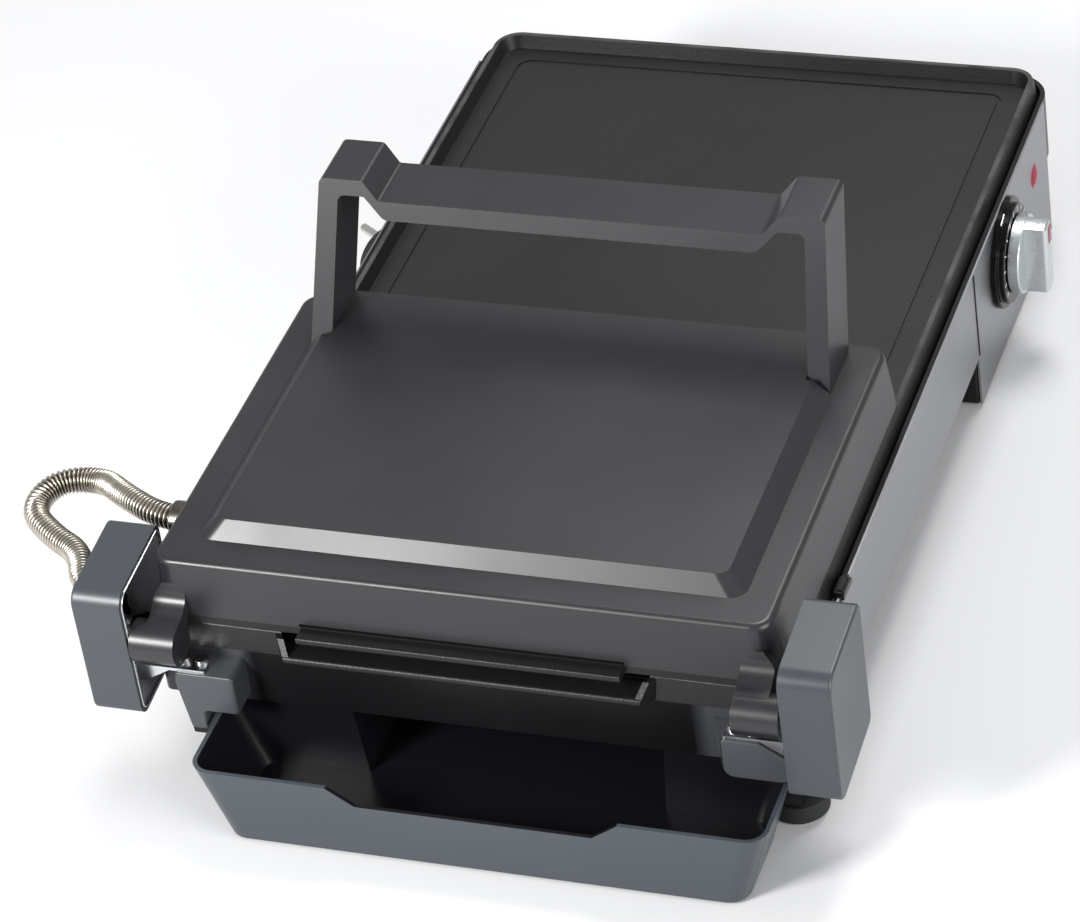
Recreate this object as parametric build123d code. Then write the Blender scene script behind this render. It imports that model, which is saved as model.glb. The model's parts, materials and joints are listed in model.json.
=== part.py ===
from build123d import *
import math
import os

# Electric table grill: a long griddle on a low body, with a contact lid over its hinge end.
# Millimetres. +X runs from the hinge end to the open end of the griddle, -Y is the side with
# the control knob, +Z is up. Shapes are drawn from the lid's hinge-side edge (x = 0, y = 0 on
# the middle plane, z = 0 on the table) and moved to the origin when they are written out.

# Lid
lid_width = 290.0
lid_depth = 205.5
lid_top = 123.0
lid_bottom = 93.0
lid_flare = 3.0
lid_far_flare = 5.5
lid_near_flare = 1.0
lid_wall = 2.2
lid_corner = 9.0
lid_edge_round = 3.0
panel_rise = 8.0
panel_half = lid_width / 2 - 24.3
panel_bevel = 8.7
panel_near = 23.4
panel_near_bevel = 6.1
panel_far_gap = 1.5
panel_far_bevel = 4.0
panel_skirt = 1.0
panel_corner = 6.0
skirt_notch_height = 2.0
lug_root = 110.0
lug_width = 15.5
lug_inset = 5.0
lug_bend_x = -1.0
lug_bend_z = 101.5
lug_bend_round = 8.0
lug_crest_x = -9.0
lug_crest_rise = 0.8
lug_under_x = -4.8
lug_under_z = 89.0
lug_foot_rise = 0.3
lug_shoulder_width = 6.5
boss_x = (30.0, lid_depth - 29.5)
boss_row = 8.5
boss_radius = 5.0
screw_radius = 1.8
screw_head = 3.2
screw_head_height = 2.0
thread_gap = 0.05

# Lid heating
pan_inset = 9.0
pan_top = 113.0
pan_sheet = 0.8
pan_draft = 5.0

# Griddle plate
plate_half = lid_width / 2 + 1.3
plate_length = 494.0
plate_top = 87.5
plate_seat = 75.0
plate_flare = 3.0
plate_end_flare = 1.5
plate_start = 0.5
plate_floor = 80.0
plate_thickness = 4.0
plate_rim = 2.4
plate_slope = 2.2
plate_corner = 13.0
plate_edge_round = 0.9
groove_inset = 10.0
groove_width = 2.4
groove_depth = 0.7
rib_pitch = 11.0
rib_count = 2 * int((plate_half - 24.5) / rib_pitch) + 1
rib_width = 3.4
rib_tip = 2.0
rib_height = 4.0
rib_start = 18.0
rib_length = lid_depth - 33.5
rib_gap = 0.4
spout_half = plate_half - 54.3
spout_tip_half = spout_half - 7.5
spout_reach = 8.5
spout_wall = 3.0
spout_round = 1.6

# Upper plate
upper_bottom = 88.6
upper_inset = 0.6
upper_lip_half = spout_tip_half - 8.0
skirt_notch_half = upper_lip_half + 0.5
upper_lip_reach = 8.0
upper_lip_height = 3.8

# Body
body_length = plate_length + 5.0
body_half = plate_half + 6.2
body_corner = 20.0
body_wall = 2.5
body_ledge = 80.0
body_floor = 44.0
skirt_bottom = 30.0
near_wall_x = 0.6
seat_width = 6.0
seat_height = 3.0
panel_sheet = 1.0
panel_top = 80.5
panel_start = 34.0
panel_end = body_length - 25.0
box_start = body_length - 177.0
box_bottom = 2.0
box_depth = 58.0
box_round = 2.0
cover_sheet = 1.2
sheet_gap = 0.3

# Legs and feet
leg_front = 8.6
leg_depth = 30.0
leg_half = body_half - 3.5
leg_right_inner = body_half - 30.5
leg_left_inner = body_half - 49.5
leg_bottom = 10.0
leg_taper = 1.5
foot_radius = 14.0
foot_x = 22.8
foot_right_y = 10.5 - body_half
foot_left_y = body_half - 33.5
foot_peg = 4.0
foot_peg_height = 6.0
far_foot_x = body_length - 47.0
far_foot_y = body_half - 24.5
far_foot_radius = 10.0
far_foot_height = 5.0
far_leg_size = 34.0

# Ears below the hinge, and the arms that carry it
ear_front = -15.0
ear_back = 12.0
ear_bottom = 47.5
ear_top = 69.0
ear_inner = body_half - 30.5
ear_flare = 12.0
ear_bevel = 13.0
ear_bevel_drop = 8.0
ear_round = 5.0
left_ear_inner = body_half - 44.0
left_ear_outer = body_half - 14.5
left_ear_taper = 4.0
left_ear_bottom = 36.5
left_ear_notch = body_half - 26.5
left_ear_notch_top = 47.5
arm_front = 13.0
arm_back = 27.0
arm_bottom = 56.0
arm_top = 66.0

# Hinge
hinge_x = -14.0
hinge_z = 86.0
barrel_radius = 10.0
barrel_inner = lid_width / 2 - 14.0
barrel_outer = lid_width / 2 + 7.6
barrel_web = 1.5
pin_radius = 4.0
pin_clearance = 0.07
pin_head = 5.5
pin_head_height = 2.0
spacer_radius = 5.5
spacer_gap = 0.3
bracket_sheet = 2.5
bracket_face = barrel_outer + 15.4
bracket_radius = 5.8
shelf_sheet = 1.5
shelf_front = -13.5
shelf_back = 10.0
shelf_drop = 7.8
shelf_gap = 0.4
shelf_screw_x = -6.5
shelf_screw_length = 9.0
shelf_screws_y = (body_half - 26.0, body_half - 17.5)
bracket_screw_x = 20.0
cover_screw_x = 8.0
cover_screw_z = 74.5
cover_boss = 4.5

# Arm covers
cover_inner = barrel_outer + 1.2
cover_outer = cover_inner + 24.1
cover_wall = 2.0
cover_back = 29.5
cover_front = -22.4
cover_back_top = 120.0
cover_front_top = 115.6
cover_back_bottom = 51.5
cover_front_bottom = 45.3
cover_rounds = (4.0, 9.0, 6.0, 5.0)
cover_edge = 1.4

# Handle
handle_foot_x = lid_depth - 40.5
handle_top = 198.5
handle_lean = 0.417
handle_depth = 32.5
handle_foot_half = lid_width / 2 - 17.0
handle_top_half = handle_foot_half - 4.5
handle_leg = 10.5
handle_block = handle_top_half - 21.5
handle_block_thickness = 7.0
grip_half = handle_block - 8.0
grip_drop = 8.5
grip_thickness = 8.2
handle_gap = 0.5
handle_screws_x = (10.0, 24.0)
handle_screw_depth = 9.0

# Controls
control_x = body_length - 118.0
control_z = 53.0
bezel_radius = 28.5
bezel_step = 25.6
bezel_thickness = 3.0
knob_radius = 20.0
knob_disc = 5.5
knob_gap = 0.6
knob_grip_width = 11.0
knob_grip_reach = 11.4
knob_edge = 0.8
shaft_radius = 3.0
shaft_gap = 0.07
shaft_depth = 14.0
thermostat_width = 34.0
thermostat_height = 22.0
thermostat_depth = 24.0
lens_x = body_length - 52.5
lens_z = 54.0
lens_radius = 6.6
lens_proud = 1.6
lens_stem = 4.0
lamp_length = 12.0

# Drip tray
tray_middle = -13.0
tray_half = body_half - 16.5
tray_draft = 12.0
tray_front = -48.7
tray_front_draft = 2.0
tray_top = 41.6
tray_bottom = 2.0
tray_wall = 2.0
tray_jog = 6.5
tray_corner = 10.0
tray_rear_half = tray_half - 59.5
tray_rear = 108.0
tray_rear_draft = 3.0
tray_notch_half = tray_half - 80.0
tray_notch_slope = 13.0
tray_notch_drop = 9.6
tray_flange = 4.0
tray_flange_sheet = 1.2
tray_flange_start = 12.0
rail_gap = 0.3
rail_sheet = 1.6
rail_start = 40.0
rail_end = 116.0

# Heating elements
element_radius = 3.2
element_gap = 0.3
element_bend = 16.0
element_inset = 32.0
element_ends = 30.0
reflector_floor = 66.5
reflector_inset = 14.0

# Metal conduit between the lid and the left arm cover
conduit_crest = 6.2
conduit_root = 5.5
conduit_bore = 4.4
conduit_ribs = 44
conduit_end_gap = 0.1
conduit_x = 46.0
conduit_z = 108.0
conduit_route = (
    (46.0, 18.0, 108.0), (63.0, 44.0, 102.0), (80.0, 69.0, 96.0), (83.0, 86.0, 92.0), (66.0, 93.0, 88.0),
    (46.0, 77.0, 86.5), (26.0, 56.0, 89.0), (7.0, 47.0, 93.0),
)
conduit_end_x = 7.0
conduit_end_z = 93.0
nut_radius = 9.0
nut_length = 6.0
nut_neck = 7.4

# Mains cord
cord_radius = 3.5
coil_pitch = 7.6
coil_x = body_length + 53.0
coil_radius = 41.5
coil_turns_in = 3
cord_exit_y = body_half - 48.5
cord_exit_z = 52.0
cord_inside = 20.0
tail_route = ((13.0, 61.0, 4.5), (53.0, 65.0, 3.5), (94.0, 46.0, 3.5), (166.3, 35.4, 4.0), (189.8, 79.5, 10.0))
relief_length = 20.0
relief_root = 6.5
relief_tip = 5.0
terminal_length = 30.0
terminal_height = 18.0
plug_x = body_length - 122.0
plug_y = body_half + 28.5
plug_z = 19.0
plug_turn = math.degrees(math.atan2(0.832, 0.555))
plug_radius = 19.0
plug_length = 30.0
plug_neck = 8.0
plug_shoulder = 10.0
plug_edge = 2.0
sleeve_length = 22.0
sleeve_radius = 5.0
prong_radius = 2.4
prong_length = 19.0
prong_spacing = 19.0
prong_round = 1.2
prong_root = 6.0
prong_neck = 0.5
prong_root_radius = 1.8

shift_x = -(body_length + relief_length + tray_front) / 2

os.makedirs("parts", exist_ok=True)


def write(name, *solids):
    # Moves solids to the part's origin and writes them as one node.
    placed = [Pos(shift_x, 0, 0) * s for s in solids]
    single = [s for p in placed for s in p.solids()]
    shape = single[0] if len(single) == 1 else Compound(children=single)
    shape.label = name
    export_step(shape, f"parts/{name}.step")


# Basic shapes
def block(x0, x1, y0, y1, z0, z1):
    # A box between two corners.
    size = Box(abs(x1 - x0), abs(y1 - y0), abs(z1 - z0))
    return Pos((x0 + x1) / 2, (y0 + y1) / 2, (z0 + z1) / 2) * size


def slab(x0, x1, half, z, corner, y=0.0):
    # A rounded rectangle at height z, from x0 to x1 and half to each side of y.
    return Pos((x0 + x1) / 2, y, z) * RectangleRounded(x1 - x0, 2 * half, corner)


def frustum(low, high):
    # A straight-sided solid between two such rectangles.
    return loft([low, high], ruled=True)


def prism(face, height):
    # A flat face carried straight up.
    return extrude(face, amount=height, dir=(0, 0, 1))


def plan(x0, x1, half, near_round, far_round, z):
    # A rectangle at height z whose near and far corners have their own radii.
    middle = (x0 + x1) / 2
    face = Pos(middle, 0, z) * Rectangle(x1 - x0, 2 * half)
    near = [v for v in face.vertices() if v.X < middle]
    face = fillet(near, near_round)
    far = [v for v in face.vertices() if v.X > x1 - 0.01]
    return fillet(far, far_round)


def rod(x, z, radius, y0, y1):
    # A cylinder along Y.
    return Pos(x, (y0 + y1) / 2, z) * Rot(90, 0, 0) * Cylinder(radius, abs(y1 - y0))


def post(x, y, radius, z0, z1):
    # An upright cylinder.
    return Pos(x, y, (z0 + z1) / 2) * Cylinder(radius, z1 - z0)


def side_face(points, y):
    # A flat face of x, z points at one y.
    return make_face(Polyline(*[(x, y, z) for x, z in points], close=True))


def along_y(face, length):
    # A face in an x, z plane carried along Y by a signed length.
    return extrude(face, amount=abs(length), dir=(0, math.copysign(1, length), 0))


def round_at(face, x, z, radius):
    # Rounds the corner of a side face that is nearest to x, z.
    nearest = min(face.vertices(), key=lambda v: math.hypot(v.X - x, v.Z - z))
    return fillet(nearest, radius)


def bosses():
    # The four screw places between two cooking ribs.
    side = boss_row * rib_pitch
    return [(x, y) for x in boss_x for y in (-side, side)]


# Lid
def lid_shell():
    # A drafted hood with a raised, bevelled panel and two curved lugs that end in barrels.
    half = lid_width / 2
    low = slab(-lid_near_flare, lid_depth + lid_far_flare, half + lid_flare, lid_bottom, lid_corner + lid_flare)
    hood = frustum(low, slab(0, lid_depth, half, lid_top, lid_corner))
    hood = fillet(hood.faces().sort_by(Axis.Z)[-1].edges(), lid_edge_round)
    panel_far = lid_depth - panel_far_gap - panel_far_bevel
    skirt = panel_skirt / panel_rise
    bevel_low = slab(
        panel_near - panel_near_bevel * (1 + skirt), panel_far + panel_far_bevel * (1 + skirt),
        panel_half + panel_bevel * (1 + skirt), lid_top - panel_skirt, panel_corner + 2)
    outer = hood + frustum(bevel_low, slab(panel_near, panel_far, panel_half, lid_top + panel_rise, panel_corner))
    cavity_low = slab(
        lid_wall - lid_near_flare, lid_depth + lid_far_flare - lid_wall, half + lid_flare - lid_wall,
        lid_bottom, lid_corner + lid_flare - lid_wall)
    cavity_high = slab(lid_wall, lid_depth - lid_wall, half - lid_wall, lid_top - lid_wall, lid_corner - lid_wall)
    room = slab(panel_near, panel_far - lid_wall, panel_half - lid_wall, lid_top - lid_wall, 2)
    shell = outer - frustum(cavity_low, cavity_high) - prism(room, panel_rise)
    for side in (-1, 1):
        shell += outer & handle_pocket(side, lid_wall, lid_top - lid_wall)
        shell -= handle_pocket(side, 0, lid_top)
    for x, y in bosses():
        shell += post(x, y, boss_radius, pan_top, lid_top + panel_rise - lid_wall)
        shell -= post(x, y, screw_radius + thread_gap, pan_top, pan_top + panel_rise)
    shell -= block(-lid_near_flare, lid_wall, -skirt_notch_half, skirt_notch_half, lid_bottom,
                   lid_bottom + skirt_notch_height)
    for side in (-1, 1):
        shell += hinge_lug(side)
        shell -= rod(hinge_x, hinge_z, pin_radius + pin_clearance, side * (barrel_inner + barrel_web),
                     side * barrel_outer)
        for x in handle_screws_x:
            shell -= post(handle_foot_x + x, side * leg_middle(), screw_radius + thread_gap, lid_top - lid_wall,
                          lid_top)
    return shell - rod(conduit_x, conduit_z, nut_neck + sheet_gap, half - 4 * lid_wall, half + 2 * lid_flare)


def leg_middle():
    # How far out the middle of a handle leg stands.
    return handle_foot_half - handle_leg / 2


def handle_pocket(side, wall, floor):
    # The room that a handle leg stands in, with a margin around it.
    inner = side * (handle_foot_half - handle_leg - handle_gap - wall)
    outer = side * (panel_half + 2 * panel_bevel)
    reach = handle_lean * panel_rise
    return block(handle_foot_x - handle_gap - wall, handle_foot_x + handle_depth + reach + handle_gap + wall,
                 inner, outer, floor, lid_top + panel_rise)


def hinge_lug(side):
    # The S-shaped web from the lid's wall down to a hinge barrel.
    top, foot = hinge_z + barrel_radius, lid_bottom + lug_foot_rise
    wall = -lid_near_flare * (lid_top - lug_root) / (lid_top - lid_bottom)
    points = [(lug_inset, lug_root), (wall, lug_root), (lug_bend_x, lug_bend_z), (lug_crest_x, top + lug_crest_rise),
              (hinge_x, top), (hinge_x, hinge_z), (lug_under_x, lug_under_z), (lug_bend_x, foot), (lug_inset, foot)]
    face = round_at(side_face(points, side * barrel_inner), lug_bend_x, lug_bend_z, lug_bend_round)
    face = round_at(face, lug_crest_x, top + lug_crest_rise, lug_bend_round)
    web = along_y(face, side * lug_width)
    outer = barrel_inner + lug_width + 1
    corner = [(outer - lug_shoulder_width, lug_root + 1), (outer, lug_root + 1), (outer, lug_bend_z - 1)]
    shoulder = make_face(Polyline(*[(lug_crest_x, side * y, z) for y, z in corner], close=True))
    web -= extrude(shoulder, amount=lug_inset - lug_crest_x, dir=(1, 0, 0))
    return web + rod(hinge_x, hinge_z, barrel_radius, side * barrel_inner, side * barrel_outer)


def lid_pan():
    # The pressed steel pan above the upper heating element.
    near, far = pan_inset, lid_depth - pan_inset
    half = lid_width / 2 - pan_inset
    outer = frustum(slab(near, far, half, lid_bottom, 12),
                    slab(near + pan_draft, far - pan_draft, half - pan_draft, pan_top, 8))
    inner = frustum(slab(near + pan_sheet, far - pan_sheet, half - pan_sheet, lid_bottom, 11.5),
                    slab(near + pan_draft + pan_sheet, far - pan_draft - pan_sheet, half - pan_draft - pan_sheet,
                         pan_top - pan_sheet, 7.5))
    pan = outer - inner
    for x, y in bosses():
        pan -= post(x, y, screw_radius + sheet_gap, pan_top - pan_sheet, pan_top)
    return pan


def ribs(root, tip):
    # Parallel cooking ribs that narrow from root height to tip height.
    shapes = []
    for i in range(rib_count):
        y = (i - (rib_count - 1) / 2) * rib_pitch
        wide, slim = rib_width / 2, rib_tip / 2
        points = [(y - wide, root), (y - slim, tip), (y + slim, tip), (y + wide, root)]
        face = make_face(Polyline(*[(rib_start, a, b) for a, b in points], close=True))
        shapes.append(extrude(face, amount=rib_length, dir=(1, 0, 0)))
    return shapes


def upper_plate():
    # The ribbed contact plate in the lid, with a lip over the spout and four posts.
    near = upper_inset - lid_near_flare
    far = lid_depth + lid_far_flare - upper_inset
    half = lid_width / 2 + lid_flare - upper_inset
    plate = prism(slab(near, far, half, upper_bottom, lid_corner), lid_bottom - upper_bottom)
    plate += ribs(upper_bottom, plate_floor + rib_height + rib_gap)
    lip = side_face([(near + 1, upper_bottom), (near + 1, upper_bottom + upper_lip_height),
                     (near - upper_lip_reach, upper_bottom + upper_lip_height),
                     (near - upper_lip_reach, upper_bottom)], -upper_lip_half)
    lip = round_at(lip, near - upper_lip_reach, upper_bottom, 1.5)
    lip = round_at(lip, near - upper_lip_reach, upper_bottom + upper_lip_height, 1.0)
    plate += along_y(lip, 2 * upper_lip_half)
    for x, y in bosses():
        plate += post(x, y, boss_radius - 1, lid_bottom, pan_top - pan_sheet)
        plate -= post(x, y, screw_radius + sheet_gap, upper_bottom, pan_top)
        plate -= post(x, y, screw_head + sheet_gap, upper_bottom, upper_bottom + screw_head_height)
    return plate


def plate_screws():
    # The screws that hold the upper plate and the pan to the lid.
    screws = []
    for x, y in bosses():
        head = post(x, y, screw_head, upper_bottom, upper_bottom + screw_head_height)
        screws.append(head + post(x, y, screw_radius, upper_bottom, pan_top + panel_rise - 1))
    return screws


def element(near, far, z):
    # A rod heating element bent to a rounded open loop.
    half = plate_half - element_inset
    corners = [(near, -element_ends), (near, -half), (far, -half), (far, half), (near, half), (near, element_ends)]
    path = FilletPolyline(*[(x, y, z) for x, y in corners], radius=element_bend)
    return sweep(Plane(path @ 0, z_dir=path % 0) * Circle(element_radius), path=path)


# Handle
def handle():
    # One leaning moulding: two legs, a raised block over each and a lower grip between them.
    under = handle_top - handle_block_thickness
    grip_top = handle_top - grip_drop
    grip_under = grip_top - grip_thickness
    inner_foot = handle_foot_half - handle_leg
    inner_top = handle_top_half - handle_leg + 1
    right = [
        (handle_foot_half, lid_top, 0), (handle_top_half, handle_top, 3.0), (handle_block, handle_top, 2.5),
        (grip_half, grip_top, 2.0)]
    back = [
        (grip_half - 3, grip_under, 5.0), (handle_block - 1, under, 2.0), (inner_top, under, 3.5),
        (inner_foot, lid_top, 0)]
    half_line = right + [(-y, z, r) for y, z, r in right[::-1]]
    whole = half_line + [(-y, z, r) for y, z, r in back[::-1]] + back
    face = make_face(Polyline(*[(lean_x(z), y, z) for y, z, r in whole], close=True))
    for y, z, radius in whole:
        if radius:
            nearest = min(face.vertices(), key=lambda v: math.hypot(v.Y - y, v.Z - z))
            face = fillet(nearest, radius)
    grip = extrude(face, amount=handle_depth, dir=(1, 0, 0))
    for side in (-1, 1):
        for x in handle_screws_x:
            grip -= post(handle_foot_x + x, side * leg_middle(), screw_radius + thread_gap, lid_top,
                         lid_top + handle_screw_depth)
    return grip


def lean_x(z):
    # Where the front of the leaning handle is at height z.
    return handle_foot_x + handle_lean * (z - lid_top)


def handle_screws():
    # Two screws up through the lid into each handle leg.
    screws = []
    under = lid_top - lid_wall
    for side in (-1, 1):
        for x in handle_screws_x:
            place = (handle_foot_x + x, side * leg_middle())
            head = post(*place, screw_head, under - screw_head_height, under)
            screws.append(head + post(*place, screw_radius, under, lid_top + handle_screw_depth - 0.5))
    return screws


# Griddle
def griddle_plate():
    # The long cast plate: flared rim, flat floor with a shallow groove, ribs under the lid and a spout.
    low = slab(plate_start - plate_end_flare, plate_length + plate_end_flare, plate_half + plate_flare, plate_seat,
               plate_corner + plate_flare)
    plate = frustum(low, slab(plate_start, plate_length, plate_half, plate_top, plate_corner))
    plate = fillet(plate.faces().sort_by(Axis.Z)[-1].edges(), plate_edge_round)
    near, far, half = plate_start + plate_rim, plate_length - plate_rim, plate_half - plate_rim
    basin_floor = slab(near + plate_slope, far - plate_slope, half - plate_slope, plate_floor,
                       plate_corner - plate_rim - plate_slope)
    plate -= frustum(basin_floor, slab(near, far, half, plate_top, plate_corner - plate_rim))
    plate -= prism(slab(near, far, half, plate_seat, plate_corner), plate_floor - plate_thickness - plate_seat)
    inset = plate_slope + groove_inset
    depth = plate_floor - groove_depth
    ring = prism(slab(near + plate_slope, far - inset, half - inset, depth, 8), groove_depth)
    inside = inset + groove_width
    ring -= prism(slab(near + plate_slope + groove_width, far - inside, half - inside, depth, 6), groove_depth)
    plate -= ring
    plate += ribs(plate_floor, plate_floor + rib_height)
    plate += spout()
    gate = spout_plan(near + plate_slope, -spout_reach - 1, spout_wall, plate_floor)
    return plate - prism(gate, plate_top - plate_floor)


def spout_plan(near, far, inset, z):
    # The spout's tapering outline at height z between two places, drawn in at its sides.
    slope = (spout_half - spout_tip_half) / (plate_start + plate_rim + spout_reach)
    y0, y1 = [spout_half - inset - slope * (plate_start + plate_rim - x) for x in (near, far)]
    return make_face(Polyline((near, -y0, z), (far, -y1, z), (far, y1, z), (near, y0, z), close=True))


def spout():
    # The lip that carries fat clear of the body, with a sloping cheek at each end.
    root = plate_start + plate_rim
    under = plate_floor - plate_thickness
    lip = prism(spout_plan(root, -spout_reach, 0, under), plate_thickness)
    front = [e for e in lip.edges() if e.center().X < -spout_reach + 0.01 and e.length > spout_tip_half]
    lip = fillet(front, spout_round)
    end = 1 - spout_reach
    profile = side_face([(root, under), (root, plate_top - 1), (-spout_wall, plate_top - 1), (end, plate_floor),
                         (end, under)], -spout_half)
    cheeks = prism(spout_plan(root, end, 0, under), plate_top - under)
    cheeks -= prism(spout_plan(root, end, spout_wall, under), plate_top - under)
    return lip + (cheeks & along_y(profile, 2 * spout_half))


def reflector():
    # The bright dish under the lower heating element.
    top = plate_seat - seat_height
    near, far = near_wall_x + reflector_inset, body_length - reflector_inset
    half = body_half - reflector_inset
    depth = top - reflector_floor
    dish = frustum(slab(near + depth, far - depth, half - depth, reflector_floor, 10), slab(near, far, half, top, 14))
    room = frustum(slab(near + depth + pan_sheet, far - depth - pan_sheet, half - depth - pan_sheet,
                        reflector_floor + pan_sheet, 9.5),
                   slab(near + pan_sheet, far - pan_sheet, half - pan_sheet, top, 13.5))
    rim = reflector_inset - body_wall - seat_width / 2
    flange = prism(slab(near - rim, far + rim, half + rim, top - pan_sheet, 14), pan_sheet)
    return dish + flange - room


# Body
def body_tub():
    # The moulded tub: walls, plate seat, side skirts, control box, legs, ears and hinge arms.
    inside = body_half - body_wall
    near, far = near_wall_x + body_wall, body_length - body_wall
    tub = prism(plan(near_wall_x, body_length, body_half, 4, body_corner, body_floor), body_ledge - body_floor)
    tub -= prism(plan(near, far, inside, 2, body_corner - body_wall, body_floor), body_ledge - body_floor)
    tub -= block(near_wall_x - 1, near, -inside, inside, plate_seat, body_ledge)
    for base in (plate_seat - seat_height, body_floor + cover_sheet):
        ring = plan(near_wall_x + 1, body_length - 1, body_half - 1, 3, body_corner - 1, base)
        hole = plan(near + seat_width, far - seat_width, inside - seat_width, 3,
                    body_corner - body_wall - seat_width, base)
        tub += prism(ring - hole, seat_height)
    tub += control_box()
    tub += far_leg()
    for side in (-1, 1):
        tub += block(panel_start, panel_end, side * inside, side * body_half, skirt_bottom, body_floor + 1)
        tub += near_leg(side)
        tub += hinge_ear(side)
        tub += block(arm_front, arm_back, side * inside, side * bracket_face, arm_bottom, arm_top)
        tub -= rod(bracket_screw_x, (arm_bottom + arm_top) / 2, screw_radius + thread_gap, side * (inside + 4),
                   side * bracket_face)
    tub -= block(box_start + body_wall, panel_end - body_wall, body_wall - body_half,
                 box_depth - body_wall - body_half, far_foot_height + body_wall, body_floor + cover_sheet + seat_height)
    tub -= rod(control_x, control_z, shaft_radius + 1.5, -body_half, -inside)
    tub -= rod(lens_x, lens_z, lens_stem + shaft_gap, -body_half, -inside)
    tub -= Pos(body_length - body_wall / 2, cord_exit_y, cord_exit_z) * Rot(0, 90, 0) * Cylinder(
        relief_tip + shaft_gap, 2 * body_wall)
    for x, y in near_feet():
        tub -= post(x, y, foot_peg + thread_gap, leg_bottom, leg_bottom + foot_peg_height)
    for x, y in far_feet():
        tub -= post(x, y, far_foot_radius + sheet_gap, 0, far_foot_height)
    return tub


def near_feet():
    return [(foot_x, foot_right_y), (foot_x, foot_left_y)]


def far_feet():
    return [(far_foot_x, -far_foot_y), (far_foot_x, far_foot_y)]


def control_box():
    # The housing below the body that holds the thermostat and reaches nearly to the table.
    box = block(box_start, panel_end, -body_half, box_depth - body_half, box_bottom, body_floor + seat_height)
    return fillet(box.edges().filter_by(Axis.Z), box_round)


def near_leg(side):
    # A tapered leg behind the wide part of the drip tray.
    inner = leg_right_inner if side < 0 else leg_left_inner
    width = leg_half - inner
    middle = Pos(leg_front + leg_depth / 2, side * (leg_half + inner) / 2, 0)
    top = middle * Pos(0, 0, body_floor + cover_sheet + 1) * Rectangle(leg_depth, width)
    foot = middle * Pos(0, 0, leg_bottom) * Rectangle(leg_depth - 2 * leg_taper, width - 2 * leg_taper)
    return loft([foot, top], ruled=True)


def far_leg():
    # The leg under the far corner on the side away from the controls.
    half = far_leg_size / 2
    leg = block(far_foot_x - half, far_foot_x + half, far_foot_y - half, far_foot_y + half, box_bottom,
                body_floor + cover_sheet + 1)
    leg = fillet(leg.edges().filter_by(Axis.Z), 4.0)
    return leg + block(far_foot_x - half, far_foot_x + half, far_foot_y, body_half - 1, body_floor,
                       body_floor + cover_sheet + 1)


def hinge_ear(side):
    # The ear at a near corner, above the tray and below the hinge barrel: bevelled outside, or tall and notched.
    if side < 0:
        points = [(ear_inner, ear_bottom, ear_round), (ear_inner, ear_top, 2.0), (body_half - ear_bevel, ear_top, 2.0),
                  (body_half, ear_top - ear_bevel_drop, 2.0), (body_half, ear_bottom, ear_round)]
    else:
        low = left_ear_outer - left_ear_taper
        points = [(left_ear_inner, left_ear_notch_top, 2.0), (left_ear_inner, ear_top, 2.0),
                  (left_ear_outer - 1, ear_top, 1.5), (left_ear_outer, ear_top - 5, 1.5), (low, left_ear_bottom, 2.0),
                  (left_ear_notch, left_ear_bottom, 2.0), (left_ear_notch, left_ear_notch_top, 2.0)]
    face = make_face(Polyline(*[(ear_front, side * y, z) for y, z, r in points], close=True))
    for y, z, radius in points:
        nearest = min(face.vertices(), key=lambda v: math.hypot(abs(v.Y) - y, v.Z - z))
        face = fillet(nearest, radius)
    ear = extrude(face, amount=ear_back - ear_front, dir=(1, 0, 0))
    ear = fillet(ear.faces().sort_by(Axis.X)[0].edges(), 1.0)
    for y in shelf_screws_y:
        ear -= post(shelf_screw_x, side * y, screw_radius + thread_gap, ear_top - shelf_screw_length, ear_top)
    if side < 0:
        start = -ear_inner + ear_flare
        wider = [(ear_back, start), (ear_front, -ear_inner), (ear_back, -ear_inner)]
        wedge = make_face(Polyline(*[(x, y, ear_bottom + ear_round) for x, y in wider], close=True))
        ear += prism(wedge, ear_top - ear_bottom - ear_round - 1)
    return ear


def bottom_cover():
    # The sheet that closes the body from below, open over the control box and round the legs.
    sheet = prism(plan(near_wall_x + body_wall + sheet_gap, body_length - body_wall - sheet_gap,
                       body_half - body_wall - sheet_gap, 2, body_corner - body_wall, body_floor), cover_sheet)
    high = body_floor + cover_sheet
    sheet -= block(box_start - sheet_gap, panel_end + sheet_gap, -body_half, box_depth - body_half + sheet_gap,
                   body_floor, high)
    half = far_leg_size / 2 + sheet_gap
    sheet -= block(far_foot_x - half, far_foot_x + half, far_foot_y - half, body_half, body_floor, high)
    for side in (-1, 1):
        inner = (leg_right_inner if side < 0 else leg_left_inner) - sheet_gap
        sheet -= block(0, leg_front + leg_depth + sheet_gap, side * inner, side * body_half, body_floor, high)
    return sheet


def tray_rails():
    # Two Z-shaped runners under the bottom cover for the flanges of the tray's narrow part.
    rails = []
    shelf = tray_top - tray_flange_sheet - rail_gap
    for side in (-1, 1):
        inner = tray_middle + side * (tray_rear_half + rail_gap)
        wall = tray_middle + side * (tray_rear_half + tray_flange + rail_gap)
        back = wall + side * rail_sheet
        rail = block(rail_start, rail_end, inner, back, shelf - rail_sheet, shelf)
        rail += block(rail_start, rail_end, wall, back, shelf - rail_sheet, body_floor)
        rail += block(rail_start, rail_end, wall, wall + side * 4 * rail_sheet, body_floor - rail_sheet, body_floor)
        rails.append(rail)
    return rails


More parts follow.
